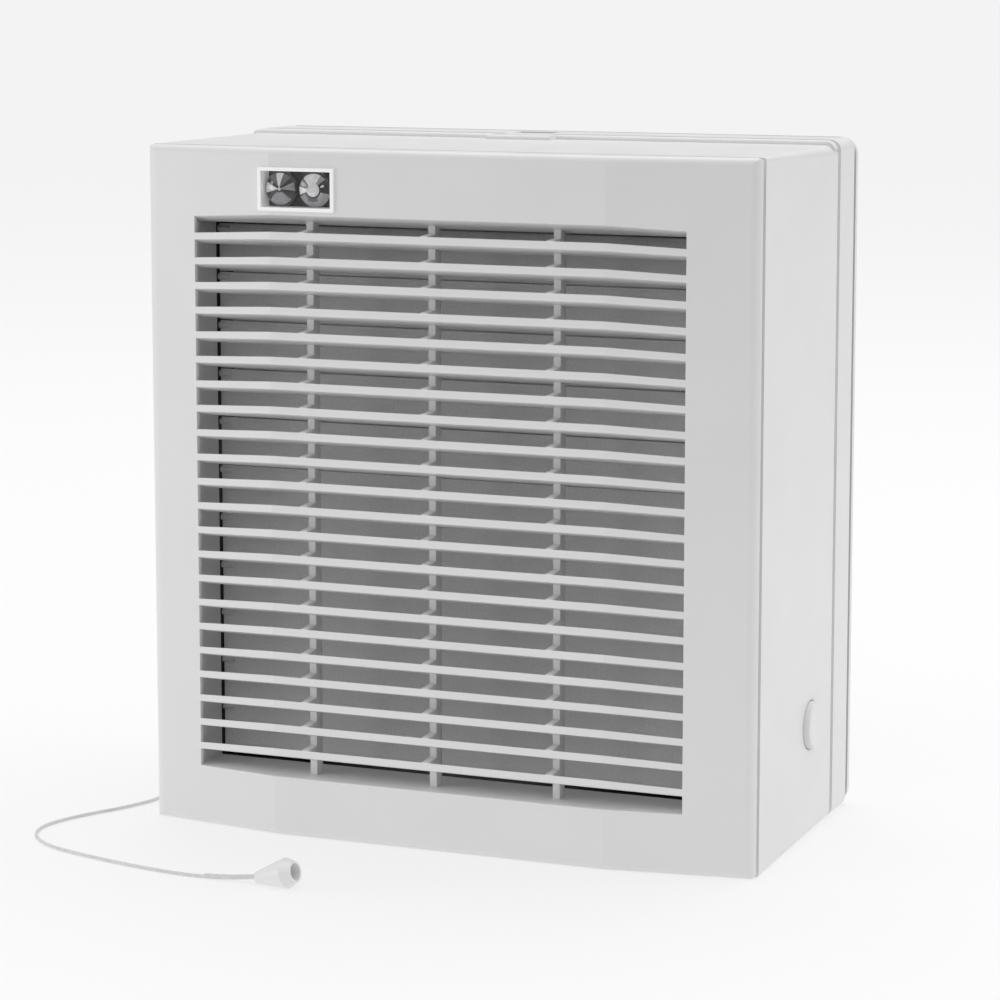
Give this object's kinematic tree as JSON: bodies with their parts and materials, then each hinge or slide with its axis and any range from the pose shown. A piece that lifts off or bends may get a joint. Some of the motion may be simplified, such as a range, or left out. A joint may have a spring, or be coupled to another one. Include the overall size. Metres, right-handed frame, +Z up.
{
  "type": "bathroom extractor fan",
  "caption": "Square wall or window extractor fan with a louvred cover, a powered shutter behind it, a rear duct spigot, indicator lamps and a pull cord switch.",
  "frame": {"origin": "on the floor plane, under the middle of the fan's bounding box, cord and knob left out", "axes": "+X to the right seen from the room, +Y back towards the wall and the duct, +Z up"},
  "size_m": [0.3305, 0.2536, 0.312],
  "materials": {
    "white_plastic": "satin moulded ABS",
    "white_gloss": "smooth moulded",
    "clear_plastic": "clear moulded",
    "jewel": "faceted, polished",
    "dark_plastic": "matt moulded",
    "grey_plastic": "matt moulded",
    "blade_plastic": "matt moulded",
    "motor_steel": "plated pressing",
    "bright_steel": "zinc plated",
    "copper_enamel": "enamelled wire",
    "sintered_bronze": "sintered",
    "brass": "turned",
    "seal_rubber": "foam seal",
    "cord": "braided cord"
  },
  "bodies": {
    "housing": {"front_cover": "white_plastic", "lamp_bezel": "white_plastic", "casing": "white_plastic", "side_cap": "white_plastic", "cord_outlet": "white_plastic", "wall_frame": "white_plastic", "back_plate": "white_plastic", "lamp_lens": "clear_plastic", "lamp_jewel_left": "jewel", "lamp_jewel_right": "jewel", "lamp_holder": "dark_plastic", "shutter_frame": "dark_plastic", "pull_switch": "dark_plastic", "shutter_actuator": "dark_plastic", "fan_shroud": "grey_plastic", "terminal_block": "grey_plastic", "terminal_cover": "grey_plastic", "cable_clamp": "grey_plastic", "motor_bracket": "motor_steel", "motor_can": "motor_steel", "motor_cap": "motor_steel", "stator_core": "motor_steel", "rear_guard": "bright_steel", "casing_screws": "bright_steel", "shroud_screws": "bright_steel", "shutter_screws": "bright_steel", "bracket_screws": "bright_steel", "motor_screws": "bright_steel", "terminal_screws": "brass", "clamp_screws": "bright_steel", "actuator_screws": "bright_steel", "windings": "copper_enamel", "bearing_front": "sintered_bronze", "bearing_rear": "sintered_bronze", "wall_seal": "seal_rubber", "pull_cord": "cord", "pull_knob": "white_gloss"},
    "impeller": {"impeller": "grey_plastic", "shaft": "bright_steel", "rotor": "motor_steel", "hub_washer": "bright_steel", "hub_nut": "bright_steel"},
    "link": {"link_bar": "grey_plastic"},
    "actuator": {"actuator_crank": "grey_plastic"},
    "lever": {"switch_lever": "grey_plastic"},
    "blade_01": {"shutter_blade_01": "blade_plastic"},
    "blade_02": {"shutter_blade_02": "blade_plastic"},
    "blade_03": {"shutter_blade_03": "blade_plastic"},
    "blade_04": {"shutter_blade_04": "blade_plastic"},
    "blade_05": {"shutter_blade_05": "blade_plastic"},
    "blade_06": {"shutter_blade_06": "blade_plastic"},
    "blade_07": {"shutter_blade_07": "blade_plastic"},
    "blade_08": {"shutter_blade_08": "blade_plastic"},
    "blade_09": {"shutter_blade_09": "blade_plastic"},
    "blade_10": {"shutter_blade_10": "blade_plastic"},
    "blade_11": {"shutter_blade_11": "blade_plastic"}
  },
  "joints": [
    {"name": "fan_spin", "type": "hinge", "parent": "housing", "child": "impeller", "pos_m": [-0.0045, 0.02975, 0.153], "axis": [0, 1, 0], "continuous": true},
    {"name": "shutter_01", "type": "hinge", "parent": "housing", "child": "blade_01", "pos_m": [-0.0045, -0.05255, 0.2713], "axis": [1, 0, 0], "range_deg": [0, 75]},
    {"name": "shutter_02", "type": "hinge", "parent": "housing", "child": "blade_02", "pos_m": [-0.0045, -0.05255, 0.2491], "axis": [1, 0, 0], "range_deg": [0, 75]},
    {"name": "shutter_03", "type": "hinge", "parent": "housing", "child": "blade_03", "pos_m": [-0.0045, -0.05255, 0.2269], "axis": [1, 0, 0], "range_deg": [0, 75]},
    {"name": "shutter_04", "type": "hinge", "parent": "housing", "child": "blade_04", "pos_m": [-0.0045, -0.05255, 0.2047], "axis": [1, 0, 0], "range_deg": [0, 75]},
    {"name": "shutter_05", "type": "hinge", "parent": "housing", "child": "blade_05", "pos_m": [-0.0045, -0.05255, 0.1825], "axis": [1, 0, 0], "range_deg": [0, 75]},
    {"name": "shutter_06", "type": "hinge", "parent": "housing", "child": "blade_06", "pos_m": [-0.0045, -0.05255, 0.1603], "axis": [1, 0, 0], "range_deg": [0, 75]},
    {"name": "shutter_07", "type": "hinge", "parent": "housing", "child": "blade_07", "pos_m": [-0.0045, -0.05255, 0.1381], "axis": [1, 0, 0], "range_deg": [0, 75]},
    {"name": "shutter_08", "type": "hinge", "parent": "housing", "child": "blade_08", "pos_m": [-0.0045, -0.05255, 0.1159], "axis": [1, 0, 0], "range_deg": [0, 75]},
    {"name": "shutter_09", "type": "hinge", "parent": "housing", "child": "blade_09", "pos_m": [-0.0045, -0.05255, 0.0937], "axis": [1, 0, 0], "range_deg": [0, 75]},
    {"name": "shutter_10", "type": "hinge", "parent": "housing", "child": "blade_10", "pos_m": [-0.0045, -0.05255, 0.0715], "axis": [1, 0, 0], "range_deg": [0, 75]},
    {"name": "shutter_11", "type": "hinge", "parent": "housing", "child": "blade_11", "pos_m": [-0.0045, -0.05255, 0.0493], "axis": [1, 0, 0], "range_deg": [0, 75]},
    {"name": "actuator_turn", "type": "hinge", "parent": "housing", "child": "actuator", "pos_m": [0.127, -0.05255, 0.1492], "axis": [1, 0, 0], "range_deg": [0, 75]},
    {"name": "link_pivot", "type": "hinge", "parent": "blade_01", "child": "link", "pos_m": [0.12025, -0.04455, 0.2713], "axis": [1, 0, 0], "range_deg": [-75, 0]},
    {"name": "switch_pull", "type": "hinge", "parent": "housing", "child": "lever", "pos_m": [-0.131, 0.00395, 0.066], "axis": [0, 1, 0], "range_deg": [0, 10], "stiffness_Nm_per_rad": 0.02, "springref_deg": -5.73}
  ],
  "couplings": [
    {"joint": "shutter_02", "follows": "shutter_01", "ratio": 1},
    {"joint": "shutter_03", "follows": "shutter_01", "ratio": 1},
    {"joint": "shutter_04", "follows": "shutter_01", "ratio": 1},
    {"joint": "shutter_05", "follows": "shutter_01", "ratio": 1},
    {"joint": "shutter_06", "follows": "shutter_01", "ratio": 1},
    {"joint": "shutter_07", "follows": "shutter_01", "ratio": 1},
    {"joint": "shutter_08", "follows": "shutter_01", "ratio": 1},
    {"joint": "shutter_09", "follows": "shutter_01", "ratio": 1},
    {"joint": "shutter_10", "follows": "shutter_01", "ratio": 1},
    {"joint": "shutter_11", "follows": "shutter_01", "ratio": 1},
    {"joint": "actuator_turn", "follows": "shutter_01", "ratio": 1},
    {"joint": "link_pivot", "follows": "shutter_01", "ratio": -1}
  ]
}
